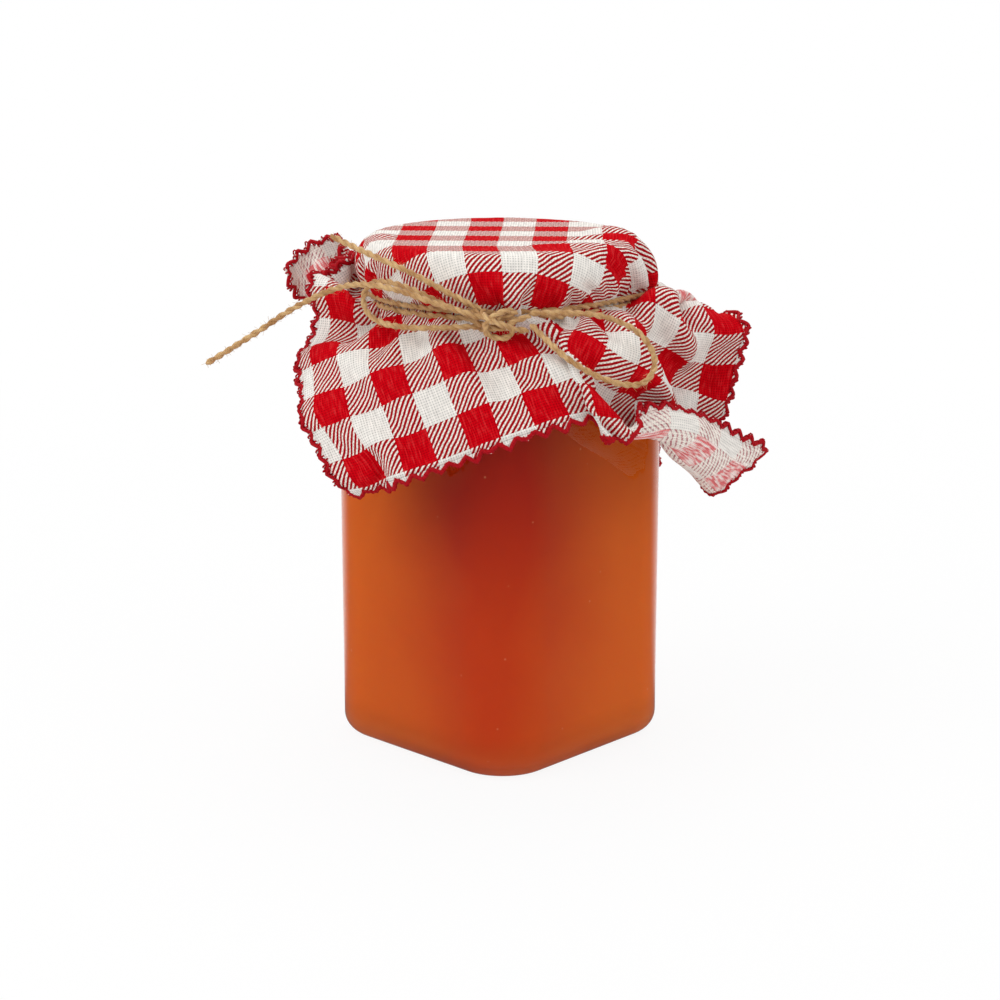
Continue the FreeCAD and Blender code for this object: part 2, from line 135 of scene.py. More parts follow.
# Direction on the cloth to direction at the tie, in degrees, where the gathers draw it aside.
DRAWN = [(-180, -180), (-158, -158), (-146, -151), (-136, -137), (-113, -109), (-97, -91),
         (-90, -84), (-84, -82), (-77, -71), (-56, -49), (-41, -32), (-20, -12), (0, 2), (25, 22),
         (60, 60), (90, 92), (120, 122), (150, 152), (180, 180)]
TIE_PATH = 48.7                 # from the middle of the cloth to the tie, along the cloth
LID_RADIUS, LID_TOP, LID_EDGE, LID_FOOT = 34.5, 132.1, 2.2, 121.6
NECK_RADIUS, SHOULDER_TOP, SHOULDER_FALL = 31.3, 113.0, 16.0
JAR_HALF, JAR_CORNER = 34.0, 15.5
CLOTH_SKIN = 0.45               # middle of the cloth to what it lies on
TIE_INSET, TIE_REACH = 1.2, 4.5 # middle of the cloth inside the twine, and the run to it
THREADS = 13.2                  # of the weave, to a check

# ---- cloth: how it settles, in checks across and up, and millimetres ---------------------------
FLAP_START = 3.0                # right of this the cloth below the tie is the firm right flap
PLEAT_ZONE = (0.3, 2.9, -5.8)   # left, right and top of the part that is pressed into the pleat
FOLD_ENDS = (0.6, 2.7)          # the pleat's hidden fold, from the front flap to the folded edge
FOLD_TOP, FOLD_FADE = -6.0, 1.2
FOLD_COLUMNS = 4                # how far the fold goes in under the flap, in steps of the grid
HEM_RISE, HEM_STEP = 0.45, (1.0, 2.4)
BIAS_PULL = 0.35                # the bias against the threads' 1
STIFFNESS = ((2, 0.12), (4, 0.06), (6, 0.0))    # steps of the grid, and what resists a bend
FLAP_STIFFNESS = 0.04
TIE_HOLD, LID_HOLD = 1.5, 20    # what the twine and the flat of the lid hold still
KEPT_SPEED, WEIGHT, ROUNDS = 0.92, 0.012, 6
HANG_DRAW = 0.15                # share of the way that a chosen place is drawn each round
EASE, EASE_ROUNDS = 0.35, 3


# ---- small helpers -----------------------------------------------------------------------------
def colour(code):
    """An sRGB hex colour as the linear RGBA that shaders take."""
    parts = [int(code[i:i + 2], 16) / 255 for i in (1, 3, 5)]
    return [p / 12.92 if p <= 0.04045 else ((p + 0.055) / 1.055) ** 2.4 for p in parts] + [1.0]


def add(tree, kind, inputs=None, **settings):
    """One node with its settings, and inputs that are values or the sockets that feed them."""
    made = tree.nodes.new(kind)
    for name, value in settings.items():
        setattr(made, name, value)
    for key, value in (inputs or {}).items():
        if isinstance(value, bpy.types.NodeSocket):
            tree.links.new(value, made.inputs[key])
        else:
            made.inputs[key].default_value = value
    return made


def maths(tree, operation, *values, **settings):
    """The result of a Math node."""
    return add(tree, "ShaderNodeMath", dict(enumerate(values)), operation=operation,
               **settings).outputs[0]


def vectors(tree, operation, first, second=None):
    """The result of a Vector Math node.  The second is a number where it scales."""
    inputs = {0: first}
    if second is not None:
        inputs["Scale" if operation == "SCALE" else 1] = second
    made = add(tree, "ShaderNodeVectorMath", inputs, operation=operation)
    return made.outputs["Value" if operation in ("DOT_PRODUCT", "LENGTH") else 0]


def mapped(tree, value, source=(0.0, 1.0), target=(0.0, 1.0), **settings):
    """A value taken from one range to another."""
    return add(tree, "ShaderNodeMapRange", {
        "Value": value, "From Min": source[0], "From Max": source[1], "To Min": target[0],
        "To Max": target[1]}, **settings).outputs["Result"]


def blend(tree, share, first, second):
    """Two colours mixed, all of the second where the share is 1."""
    return add(tree, "ShaderNodeMix", {"Factor": share, 6: first, 7: second},
               data_type="RGBA").outputs[2]


def noise(tree, place, scale, detail=2.0, roughness=0.5):
    """Soft noise, from 0 to 1."""
    return add(tree, "ShaderNodeTexNoise", {"Vector": place, "Scale": scale, "Detail": detail,
                                            "Roughness": roughness}).outputs["Fac"]


def bumped(tree, height, strength, distance):
    """The surface's direction where a height raises it by up to a distance."""
    return add(tree, "ShaderNodeBump", {"Height": height, "Strength": strength,
                                        "Distance": distance}).outputs[0]


def new_material(name):
    """An empty node material and its tree."""
    material = bpy.data.materials.new(name)
    material.use_nodes = True
    material.node_tree.nodes.clear()
    return material, material.node_tree


def surfaced(material, inputs):
    """The material, with a Principled surface that has these inputs."""
    body = add(material.node_tree, "ShaderNodeBsdfPrincipled", inputs)
    add(material.node_tree, "ShaderNodeOutputMaterial", {"Surface": body.outputs[0]})
    return material


def jar_place(points):
    """Points of the cover's frame, in millimetres, as metres in the jar's frame."""
    points = np.asarray(points, float)
    c, s = math.cos(COVER_TURN), math.sin(COVER_TURN)
    turned = points.copy()
    turned[..., 0] = points[..., 0] * c - points[..., 1] * s
    turned[..., 1] = points[..., 0] * s + points[..., 1] * c
    return turned * 0.001


def new_piece(name, vertices, faces, materials, uv=None):
    """A smooth mesh object at the origin, with uv given per vertex."""
    mesh = bpy.data.meshes.new(name)
    mesh.from_pydata([tuple(v) for v in vertices], [], [tuple(f) for f in faces])
    if uv is not None:
        layer = mesh.uv_layers.new(name="thread")
        corners = np.empty(len(mesh.loops), dtype=np.int32)
        mesh.loops.foreach_get("vertex_index", corners)
        layer.data.foreach_set("uv", np.asarray(uv, float)[corners].ravel())
    mesh.polygons.foreach_set("use_smooth", [True] * len(mesh.polygons))
    for material in materials:
        mesh.materials.append(material)
    mesh.update()
    piece = bpy.data.objects.new(name, mesh)
    bpy.context.scene.collection.objects.link(piece)
    return piece


def hand_over(piece, slot, *nodes):
    """The piece rides on the jar and stands for its nodes.  Its slot is not used."""
    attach(piece, BODY)
    if nodes:
        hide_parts(*nodes)


def baked(piece, tree, values):
    """Runs a Geometry Nodes tree on a piece and keeps the result as its plain mesh."""
    modifier = piece.modifiers.new(tree.name, "NODES")
    modifier.node_group = tree
    for item in tree.interface.items_tree:
        if item.item_type == "SOCKET" and item.in_out == "INPUT" and item.name in values:
            modifier[item.identifier] = values[item.name]
    bpy.context.view_layer.update()
    depsgraph = bpy.context.evaluated_depsgraph_get()
    result = bpy.data.meshes.new_from_object(piece.evaluated_get(depsgraph), depsgraph=depsgraph)
    piece.modifiers.remove(modifier)
    piece.data = result
    result.polygons.foreach_set("use_smooth", [True] * len(result.polygons))
    return piece


def new_tree(name, inputs):
    """A Geometry Nodes tree with a geometry input and output and the named inputs."""
    tree = bpy.data.node_groups.new(name, "GeometryNodeTree")
    tree.interface.new_socket("Geometry", in_out="INPUT", socket_type="NodeSocketGeometry")
    for label, kind, default in inputs:
        socket = tree.interface.new_socket(label, in_out="INPUT", socket_type=kind)
        if default is not None:
            socket.default_value = default
    tree.interface.new_socket("Geometry", in_out="OUTPUT", socket_type="NodeSocketGeometry")
    return tree


def joined(tree, parts, material):
    """Ends a Geometry Nodes tree: its parts as one real mesh in one material."""
    both = add(tree, "GeometryNodeJoinGeometry")
    for part in parts:
        tree.links.new(part, both.inputs[0])
    real = add(tree, "GeometryNodeRealizeInstances", {0: both.outputs[0]})
    dress = add(tree, "GeometryNodeSetMaterial", {"Geometry": real.outputs[0],
                                                  "Material": material})
    add(tree, "NodeGroupOutput", {0: dress.outputs[0]})
    return tree


# ---- settings ----------------------------------------------------------------------------------
def length_setting(name, default, description):
    """A length in metres."""
    return FloatProperty(name=name, description=description, default=default, unit="LENGTH")


def colour_setting(name, code, description):
    """A colour that starts as an sRGB hex code."""
    return FloatVectorProperty(name=name, description=description, subtype="COLOR", size=4,
                               default=colour(code), min=0, max=1)


class CoverSettings(bpy.types.PropertyGroup):
    check: length_setting("Check", 0.0086, "Side of one square of the gingham")
    cloth: length_setting("Cloth", 0.0005, "Thickness of the cotton")
    steps: IntProperty(name="Steps", description="Steps that the cloth settles for",
                       default=150, min=10)
    picot_pitch: length_setting("Picot pitch", 0.0046, "One scallop of the hem to the next")
    picot_depth: length_setting("Picot depth", 0.0019, "How far a scallop stands out")
    hem_thread: length_setting("Hem thread", 0.0011, "Thickness of the whipped hem")
    red: colour_setting("Red", "#D60012", "Solid squares of the print")
    stripe: colour_setting("Stripe red", "#B20714", "Lines of the half-tone squares")
    white: colour_setting("White", "#FCF7F0", "Bare cotton")


class TwineSettings(bpy.types.PropertyGroup):
    diameter: length_setting("Diameter", 0.0016, "Thickness of the twine")
    lay: length_setting("Lay", 0.0052, "Length in which the two plies go once round")
    fuzz: FloatProperty(name="Fuzz", description="Loose fibres to a square metre", default=7.0e5)
    straw: colour_setting("Straw", "#DDB780", "Light fibres of the jute")
    tan: colour_setting("Tan", "#AD7A45", "Dark fibres of the jute")


class JamSettings(bpy.types.PropertyGroup):
    reach: length_setting("Reach", 0.0004, "How far the jam reaches into the glass")
    base_reach: length_setting("Base reach", 0.003, "The same, more, at the thick base")
    deep: colour_setting("Deep red", "#B21E02", "Jam at the front corner, high up")
    low: colour_setting("Low red", "#CC3E04", "Jam at the front corner, low down")
    # painted light: the orange painted on the jam towards the sides, where light comes through
    painted_light_through: colour_setting("Thin orange", "#E26C18", "Jam where the light comes through")


class StageSettings(bpy.types.PropertyGroup):
    distance: length_setting("Camera distance", 0.625, "Camera to the middle of the jar")
    rise: FloatProperty(name="Camera rise", description="Angle that the camera looks down at",
                        default=math.radians(14.65), subtype="ANGLE")
    lens: FloatProperty(name="Lens", description="Focal length", default=85.6)
    room: FloatProperty(name="Room light", description="Light from all round", default=0.62)


# ---- stage -------------------------------------------------------------------------------------
class JAR_OT_stage(bpy.types.Operator):
    """Sets the camera, the soft lamps, the room's light and the pale floor"""
    bl_idname = "jar.stage"
    bl_label = "Stage"

    def execute(self, context):
        values = context.scene.jar_stage
        scene = context.scene
        scene.view_settings.view_transform = "Standard"
        data = bpy.data.cameras.new("Camera")
        data.lens = values.lens
        data.sensor_width = 36.0
        data.clip_start = 0.01
        scene.camera = self.aimed("Camera", data, -90, values.rise, values.distance)

        # lamps: name, direction round the cover's frame, height, distance, size, power
        for name, around, lift, away, size, power in (
                ("window_lamp", -150, 42, 1.1, 0.9, 4.6),
                ("fill_lamp", -30, 26, 1.2, 0.9, 2.4),
                ("top_lamp", 80, 66, 1.0, 0.8, 3.0)):
            lamp = bpy.data.lights.new(name, "AREA")
            lamp.shape = "DISK"
            lamp.size = size
            lamp.energy = power
            self.aimed(name, lamp, around, math.radians(lift), away)

        world = bpy.data.worlds.new("studio")
        world.use_nodes = True
        tree = world.node_tree
        tree.nodes.clear()
        way = add(tree, "ShaderNodeTexCoord").outputs["Generated"]
        level = mapped(tree, self.background_share(tree), target=(values.room, 1.0))
        level = maths(tree, "MULTIPLY", level, self.reflected_room(tree, way))
        sky = add(tree, "ShaderNodeBackground", {"Color": (1, 1, 1, 1), "Strength": level})
        add(tree, "ShaderNodeOutputWorld", {"Surface": sky.outputs[0]})
        scene.world = world

        rings, spokes = (0.2, 0.6, 2.0, 6.0), 48
        vertices, faces = [(0.0, 0.0, 0.0)], []
        for radius in rings:
            vertices += [(radius * math.cos(2 * math.pi * k / spokes),
                          radius * math.sin(2 * math.pi * k / spokes), 0.0) for k in range(spokes)]
        for k in range(spokes):
            n = (k + 1) % spokes
            faces.append((0, 1 + k, 1 + n))
            for a in range(1, 1 + (len(rings) - 1) * spokes, spokes):
                b = a + spokes
                faces.append((a + k, b + k, b + n, a + n))
        new_piece("studio_floor", vertices, faces, [self.floor_paper()])
        return {"FINISHED"}

    def aimed(self, name, data, around, lift, away):
        """A camera or lamp that looks at the jar from a direction in the cover's frame."""
        middle = np.array([0.0, 0.0, 0.06276])
        turn = math.radians(around) + COVER_TURN
        holder = bpy.data.objects.new(name, data)
        holder.location = middle + away * np.array([
            math.cos(lift) * math.cos(turn), math.cos(lift) * math.sin(turn), math.sin(lift)])
        holder.rotation_euler = (math.pi / 2 - lift, 0.0, turn + math.pi / 2)
        bpy.context.scene.collection.objects.link(holder)
        return holder

    def background_share(self, tree):
        """1 for rays that should meet the white background: seen, reflected or through glass."""
        rays = add(tree, "ShaderNodeLightPath").outputs
        seen = maths(tree, "MAXIMUM", rays["Is Camera Ray"], rays["Is Glossy Ray"])
        return maths(tree, "MAXIMUM", seen, rays["Is Transmission Ray"])

    def reflected_room(self, tree, way):
        """1, but low for reflected rays that leave the white backdrop, which stands behind."""
        rays = add(tree, "ShaderNodeLightPath").outputs
        back = (-math.sin(COVER_TURN), math.cos(COVER_TURN), 0.0)
        ahead = vectors(tree, "DOT_PRODUCT", vectors(tree, "NORMALIZE", way), back)
        room = mapped(tree, ahead, (0.3, 0.75), (0.88, 0.0), interpolation_type="SMOOTHSTEP")
        mirrored = maths(tree, "GREATER_THAN", rays["Is Glossy Ray"], rays["Is Transmission Ray"])
        return maths(tree, "SUBTRACT", 1.0, maths(tree, "MULTIPLY", room, mirrored))

    def floor_paper(self):
        # Matt white studio paper: it shows pure white, with only the object's faint shadow on it.
        material, tree = new_material("White studio paper")
        spot = add(tree, "ShaderNodeTexCoord").outputs["Object"]
        far = mapped(tree, vectors(tree, "LENGTH", spot), (0.06, 0.5), (0.9, 1.0))
        share = maths(tree, "MULTIPLY", far, self.background_share(tree))
        tone = mapped(tree, noise(tree, spot, 900.0), target=(0.86, 0.9))
        paper = add(tree, "ShaderNodeBsdfDiffuse", {"Color": tone})
        light = add(tree, "ShaderNodeEmission", {"Color": (1, 1, 1, 1),
                                                 "Strength": self.reflected_room(tree, spot)})
        mixed = add(tree, "ShaderNodeMixShader", {0: share, 1: paper.outputs[0],
                                                  2: light.outputs[0]})
        add(tree, "ShaderNodeOutputMaterial", {"Surface": mixed.outputs[0]})
        return material


# ---- twine -------------------------------------------------------------------------------------
def smooth_line(route):
    """Points, in metres, along the smooth spline that a route's points control."""
    data = bpy.data.curves.new("route", "CURVE")
    data.dimensions = "3D"
    data.resolution_u = 24
    spline = data.splines.new("NURBS")
    spline.points.add(len(route) - 1)
    for point, place in zip(spline.points, jar_place(route)):
        point.co = (*place, 1.0)
    spline.order_u = 3
    spline.use_endpoint_u = True
    holder = bpy.data.objects.new("route", data)
    bpy.context.scene.collection.objects.link(holder)
    bpy.context.view_layer.update()
    depsgraph = bpy.context.evaluated_depsgraph_get()
    line = bpy.data.meshes.new_from_object(holder.evaluated_get(depsgraph), depsgraph=depsgraph)
    points = np.array([v.co for v in line.vertices])
    bpy.data.objects.remove(holder)
    bpy.data.curves.remove(data)
    bpy.data.meshes.remove(line)
    return points


def evenly(points, step, closed=False):
    """Points at an even step along a line, and how far along each is."""
    if closed:
        points = np.vstack([points, points[:1]])
    gone = np.concatenate([[0.0], np.cumsum(np.linalg.norm(np.diff(points, axis=0), axis=1))])
    count = max(int(round(gone[-1] / step)), 4)
    along = np.linspace(0.0, gone[-1], count + 1)
    if closed:
        along = along[:-1]
    return np.stack([np.interp(along, gone, points[:, k]) for k in range(3)], 1), along, gone[-1]


def two_ply(points, diameter, lay, closed=False, seed=1):
    """Vertices, faces and uv of two plies laid round each other along a line."""
    sides, swell_step = 9, 0.002
    ply_off, ply_radius = diameter * 0.2, diameter * 0.31
    points, along, length = evenly(points, diameter * 0.22, closed)
    count = len(points)
    ahead = np.roll(points, -1, 0) - np.roll(points, 1, 0)
    if not closed:
        ahead[0], ahead[-1] = points[1] - points[0], points[-1] - points[-2]
    ahead /= np.linalg.norm(ahead, axis=1)[:, None]
    side = np.zeros_like(points)
    first = np.cross(ahead[0], (0.0, 0.0, 1.0))
    side[0] = first / np.linalg.norm(first)
    for k in range(1, count):
        carried = side[k - 1] - ahead[k] * (side[k - 1] @ ahead[k])
        side[k] = carried / np.linalg.norm(carried)
    up = np.cross(ahead, side)
    turns = round(length / lay) if closed else length / lay
    angle = 2 * math.pi * turns * along / length
    chance = np.random.default_rng(seed)
    swells = max(int(length / swell_step), 4)
    vertices, faces, uv = [], [], []
    for ply in range(2):
        swell = np.interp(along, np.linspace(0, length, swells), chance.uniform(0.9, 1.12, swells))
        if closed:
            swell[-3:] = swell[0]
        turn = angle + math.pi * ply
        middle = points + ply_off * (np.cos(turn)[:, None] * side + np.sin(turn)[:, None] * up)
        start = len(vertices)
        for k in range(count):
            # a cut end is a little thinner
            taper = 1.0 if closed else min(1.0, 0.55 + min(along[k], length - along[k]) / diameter)
            radius = ply_radius * swell[k] * taper
            for j in range(sides):
                a = 2 * math.pi * j / sides + turn[k] * 0.6
                # fibres stand in low ridges round the ply
                r = radius * (1.0 + 0.07 * math.cos(3 * a + 2.6 * turn[k]))
                vertices.append(middle[k] + r * (math.cos(a) * side[k] + math.sin(a) * up[k]))
                uv.append((along[k] * 1000, j / sides * diameter * 1000 + 4 * ply))
        for k in range(count if closed else count - 1):
            a, b = start + k * sides, start + ((k + 1) % count) * sides
            for j in range(sides):
                n = (j + 1) % sides
                faces.append((a + j, a + n, b + n, b + j))
        if not closed:
            faces.append([start + j for j in range(sides)][::-1])
            faces.append([start + (count - 1) * sides + j for j in range(sides)])
    return vertices, faces, uv


def jute_fibre(values):
    # Two-ply jute, spun and softly polished: straw and tan fibres lie along each ply in streaks,
    # with a dry sheen and small dark flecks of bark.
    material, tree = new_material("Jute, two-ply, spun")
    spot = add(tree, "ShaderNodeUVMap", uv_map="thread").outputs[0]
    streaks = add(tree, "ShaderNodeMapping", {"Vector": spot, "Scale": (0.9, 7.0, 1.0),
                                              "Rotation": (0.0, 0.0, 0.5)}).outputs[0]
    fibres = noise(tree, streaks, 1.6, 4.0, 0.65)
    both = maths(tree, "ADD", fibres, noise(tree, spot, 0.35, 1.0))
    tint = blend(tree, mapped(tree, both, (0.78, 1.22)), tuple(values.tan), tuple(values.straw))
    bark = mapped(tree, noise(tree, streaks, 5.0, 0.0), (0.68, 0.74), (0.0, 0.5))
    tint = blend(tree, bark, tint, colour("#6B4420"))
    return surfaced(material, {
        "Base Color": tint, "Roughness": 0.78, "Normal": bumped(tree, fibres, 0.8, 0.00012),
        "Specular IOR Level": 0.3, "Sheen Weight": 0.25, "Sheen Roughness": 0.5})


def fuzz_tree():
    """Loose fibres that stand off the twine: short bent hairs scattered over its plies."""
    tree = new_tree("Jute fuzz", [("Density", "NodeSocketFloat", 7.0e5),
                                  ("Length", "NodeSocketFloat", 0.0011),
                                  ("Thickness", "NodeSocketFloat", 0.00007),
                                  ("Material", "NodeSocketMaterial", None),
                                  ("Seed", "NodeSocketInt", 1)])
    entry = add(tree, "NodeGroupInput").outputs

    def reach(share):
        return maths(tree, "MULTIPLY", entry["Length"], share)

    bend = add(tree, "ShaderNodeCombineXYZ", {"X": reach(0.5), "Z": reach(0.25)})
    tip = add(tree, "ShaderNodeCombineXYZ", {"X": entry["Length"], "Z": reach(0.42)})
    hair = add(tree, "GeometryNodeCurveQuadraticBezier", {
        "Resolution": 3, "Start": (0, 0, 0), "Middle": bend.outputs[0], "End": tip.outputs[0]})
    ring = add(tree, "GeometryNodeCurvePrimitiveCircle", {
        "Resolution": 3, "Radius": maths(tree, "MULTIPLY", entry["Thickness"], 0.5)})
    strand = add(tree, "GeometryNodeCurveToMesh", {
        "Curve": hair.outputs[0], "Profile Curve": ring.outputs[0], "Fill Caps": True})
    spots = add(tree, "GeometryNodeDistributePointsOnFaces", {
        "Mesh": entry["Geometry"], "Density": entry["Density"], "Seed": entry["Seed"]})
    spin = add(tree, "FunctionNodeRandomValue", {"Min": (0.0, 0.0, 0.0), "Max": (6.28, 0.0, 6.28),
                                                 "Seed": 5}, data_type="FLOAT_VECTOR")
    about = add(tree, "FunctionNodeEulerToRotation", {
        0: vectors(tree, "MULTIPLY", spin.outputs[0], (0.0, 0.0, 1.0))})
    turn = add(tree, "FunctionNodeRotateRotation", {
        "Rotation": spots.outputs["Rotation"], "Rotate By": about.outputs[0]},
        rotation_space="LOCAL")
    size = add(tree, "FunctionNodeRandomValue", {2: 0.5, 3: 1.2, "Seed": 9}, data_type="FLOAT")
    hairs = add(tree, "GeometryNodeInstanceOnPoints", {
        "Points": spots.outputs["Points"], "Instance": strand.outputs[0],
        "Rotation": turn.outputs[0], "Scale": size.outputs[1]})
    return joined(tree, (hairs.outputs[0], entry["Geometry"]), entry["Material"])


def tie_distance(azimuth, inset=0.0):
    """Axis to the twine, or inset further in: a large circle, and a small one where the bunched
    folds push it out, with straight runs between."""
    large, small, offset = TIE_RADIUS - inset, BUNCH_RADIUS - inset, BUNCH_REACH - BUNCH_RADIUS
    touch = math.acos((large - small) / offset)
    leave = math.atan2(small * math.sin(touch), offset + small * math.cos(touch))
    off = np.abs(np.arctan2(np.sin(azimuth), np.cos(azimuth)))
    out = np.full_like(off, large)
    flank = (off < touch) & (off >= leave)
    out[flank] = large / np.cos(off[flank] - touch)
    tip = off < leave
    out[tip] = offset * np.cos(off[tip]) + np.sqrt(small ** 2 - (offset * np.sin(off[tip])) ** 2)
    return out


class JAR_OT_twine(bpy.types.Operator):
    """Lays the jute twine: two turns round the neck, the knot, the bow's loops and its ends"""
    bl_idname = "jar.twine"
    bl_label = "Jute Twine"

    def execute(self, context):
        values = context.scene.jar_twine
        jute = jute_fibre(values)
        fuzz = fuzz_tree()

        def fuzzy(name, vertices, faces, uv, seed, node):
            piece = new_piece(name, vertices, faces, [jute], uv)
            baked(piece, fuzz, {"Density": values.fuzz, "Material": jute, "Seed": seed})
            hand_over(piece, "jute", node)
            return piece

        for seed, (name, node, route, far_end) in enumerate((
                ("jute_loop_left", "twine_loop_left", LEFT_LOOP, "object"),
                ("jute_loop_right", "twine_loop_right", RIGHT_LOOP, "object"),
                ("jute_end_short", "twine_end_short", SHORT_TAIL, "bare"),
                ("jute_end_long", "twine_end_long", LONG_TAIL, "bare")), 1):
            line = smooth_line(route)
            strand = two_ply(line, values.diameter, values.lay, seed=seed)
            piece = fuzzy(name, *strand, seed, node)

        corners = 240
        around = 2 * math.pi * np.arange(corners) / corners
        reach = tie_distance(around)
        for seed, (name, node, side) in enumerate((
                ("jute_turn_upper", "twine_turn_upper", 0.5),
                ("jute_turn_lower", "twine_turn_lower", -0.5)), 11):
            height = np.full_like(reach, TIE_HEIGHT + side * TURN_PITCH)
            path = np.stack([reach * np.cos(around), reach * np.sin(around), height], 1)
            strand = two_ply(jar_place(path), values.diameter, values.lay, True, seed)
            fuzzy(name, *strand, seed, node)

        vertices, faces, uv = [], [], []
        for seed, route in enumerate(KNOT_ROUTES, 21):
            line = smooth_line(np.array(KNOT_MIDDLE) + route)
            more, sides, spots = two_ply(line, values.diameter, values.lay, seed=seed)
            faces += [tuple(len(vertices) + k for k in side) for side in sides]
            vertices += more
            uv += spots
        fuzzy("jute_knot", vertices, faces, uv, 21, "twine_knot")
        return {"FINISHED"}


# ---- cloth cover -------------------------------------------------------------------------------
def hung(across, up, check):
    """A smooth surface through the places where the cloth is known to be."""
    drawn = np.array(DRAWN, float)
    known = []
    for degrees in range(-180, 180, 10):
        at = math.radians(float(np.interp(degrees, drawn[:, 0], drawn[:, 1])))
        out = float(tie_distance(np.array([at]), TIE_INSET)[0])
        on_cloth = math.radians(degrees) - CLOTH_LEAN
        known.append((TIE_PATH / check * math.cos(on_cloth), TIE_PATH / check * math.sin(on_cloth),
                      out * math.cos(at), out * math.sin(at), TIE_HEIGHT))
    known = np.array(known + HANGS, float)
    spots, goals, count = known[:, :2], known[:, 2:], len(known)
    slack = 0.02
    system = np.zeros((count + 3, count + 3))
    system[:count, :count] = (np.linalg.norm(spots[:, None] - spots[None], axis=2)
                              - slack * np.eye(count))
    system[:count, count] = system[count, :count] = 1
    system[:count, count + 1:] = spots
    system[count + 1:, :count] = spots.T
    weights = np.linalg.solve(system, np.vstack([goals, np.zeros((3, 3))]))
    here = np.stack([across, up], 1)
    return (np.linalg.norm(here[:, None] - spots[None], axis=2) @ weights[:count]
            + weights[count] + here @ weights[count + 1:])


def laid_out(across, up, check):
    """Where the cloth starts: over the lid, in to the tie, and out to the hanging places."""
    path = np.hypot(across, up) * check
    azimuth = np.arctan2(up, across) + CLOTH_LEAN
    drawn = np.array(DRAWN, float)
    tie_azimuth = np.radians(np.interp(np.degrees(np.arctan2(np.sin(azimuth), np.cos(azimuth))),
                                       drawn[:, 0], drawn[:, 1]))
    bend = LID_EDGE + CLOTH_SKIN
    top, flat = LID_TOP + CLOTH_SKIN, LID_RADIUS - LID_EDGE
    edge = flat + bend * math.pi / 2
    length = np.minimum(path, TIE_PATH)
    over = np.clip((length - flat) / bend, 0, math.pi / 2)
    radius = np.where(length < flat, length, flat + bend * np.sin(over))
    share = np.clip((path - edge) / (TIE_PATH - edge), 0, 1)
    swing = np.arctan2(np.sin(tie_azimuth - azimuth), np.cos(tie_azimuth - azimuth))
    near = np.clip((path - (TIE_PATH - TIE_REACH)) / TIE_REACH, 0, 1)
    radius = radius * (1 - near) + tie_distance(tie_azimuth, TIE_INSET) * near
    height = np.where(path > edge, (top - bend) * (1 - share) + TIE_HEIGHT * share,
                      top - bend * (1 - np.cos(over)))
    turned = azimuth + swing * share
    places = np.stack([radius * np.cos(turned), radius * np.sin(turned), height], 1)
    below = path > TIE_PATH
    places[below] = hung(across, up, check)[below]
    return places, path


def kept_out(places):
    """Pushes the cloth's points out of the lid, the neck and the square jar."""
    x, y, z = places.T
    radius, azimuth = np.hypot(x, y), np.arctan2(y, x)
    top, side, bend = LID_TOP + CLOTH_SKIN, LID_RADIUS + CLOTH_SKIN, LID_EDGE + CLOTH_SKIN
    beside = z > LID_FOOT - 1.0
    out, over = radius - (side - bend), z - (top - bend)
    distance = np.hypot(out, over)
    rounded = beside & (out > 0) & (over > 0) & (distance < bend)
    grow = np.where(rounded, bend / np.maximum(distance, 1e-9), 1.0)
    new_radius = np.where(rounded, side - bend + out * grow, radius)
    new_z = np.where(rounded, top - bend + over * grow, z)
    within = beside & (over <= 0) & (radius < side)
    lift = (top - z) < (side - radius)
    new_radius = np.where(within & ~lift, side, new_radius)
    new_z = np.where((within & lift) | (beside & (out <= 0) & (z < top) & (over > 0)), top, new_z)
    # the jar's section under the lid: neck circle, then the square with round corners
    angle = azimuth + COVER_TURN
    c, s = np.abs(np.cos(angle)), np.abs(np.sin(angle))
    flat = JAR_HALF - JAR_CORNER
    straight = JAR_HALF / np.maximum(c, s)
    reach = flat * (c + s)
    corner = reach + np.sqrt(np.maximum(reach ** 2 - (2 * flat ** 2 - JAR_CORNER ** 2), 0))
    square = np.where(straight * np.minimum(c, s) > flat, corner, straight)
    down = np.clip((SHOULDER_TOP - z) / SHOULDER_FALL, 0, 1)
    section = NECK_RADIUS + (square - NECK_RADIUS) * np.sqrt(1 - (1 - down) ** 2) + CLOTH_SKIN
    new_radius = np.where(~beside & (new_radius < section), section, new_radius)
    scale = new_radius / np.maximum(radius, 1e-9)
    return np.stack([x * scale, y * scale, new_z], 1)


def thread_links(columns, rows, step_u, step_v, pressed, firm):
    """Pairs of points that the cloth's threads, bias and stiffness hold at their distances.  Where
    it is pressed into a pleat it has no stiffness, and a firm flap has more: there alone do the
    pairs six steps apart act."""
    index = np.arange(columns * rows).reshape(columns, rows)
    slant = math.hypot(step_u, step_v)
    links = []
    for odd in (0, 1):
        for near, far, rest, pull in (
                (index[odd:-1:2], index[odd + 1::2], step_u, 1.0),
                (index[:, odd:-1:2], index[:, odd + 1::2], step_v, 1.0),
                (index[odd:-1:2, :-1], index[odd + 1::2, 1:], slant, BIAS_PULL),
                (index[odd:-1:2, 1:], index[odd + 1::2, :-1], slant, BIAS_PULL)):
            links.append((near[:far.shape[0], :far.shape[1]], far, rest, pull, pull))
    for gap, push in STIFFNESS:
        for first in range(2 * gap):
            line = np.arange(first, columns - gap, 2 * gap)
            links.append((index[line], index[line + gap], gap * step_u, 0.0, push))
            line = np.arange(first, rows - gap, 2 * gap)
            links.append((index[:, line], index[:, line + gap], gap * step_v, 0.0, push))
    pairs = []
    for a, b, rest, pull, push in links:
        a, b = a.ravel(), b.ravel()
        if pull == 0.0:
            kept = ~(pressed[a] | pressed[b])
            a, b = a[kept], b[kept]
            push = push + FLAP_STIFFNESS * (firm[a] & firm[b])
        pairs.append((a, b, rest, pull, push))
    return pairs


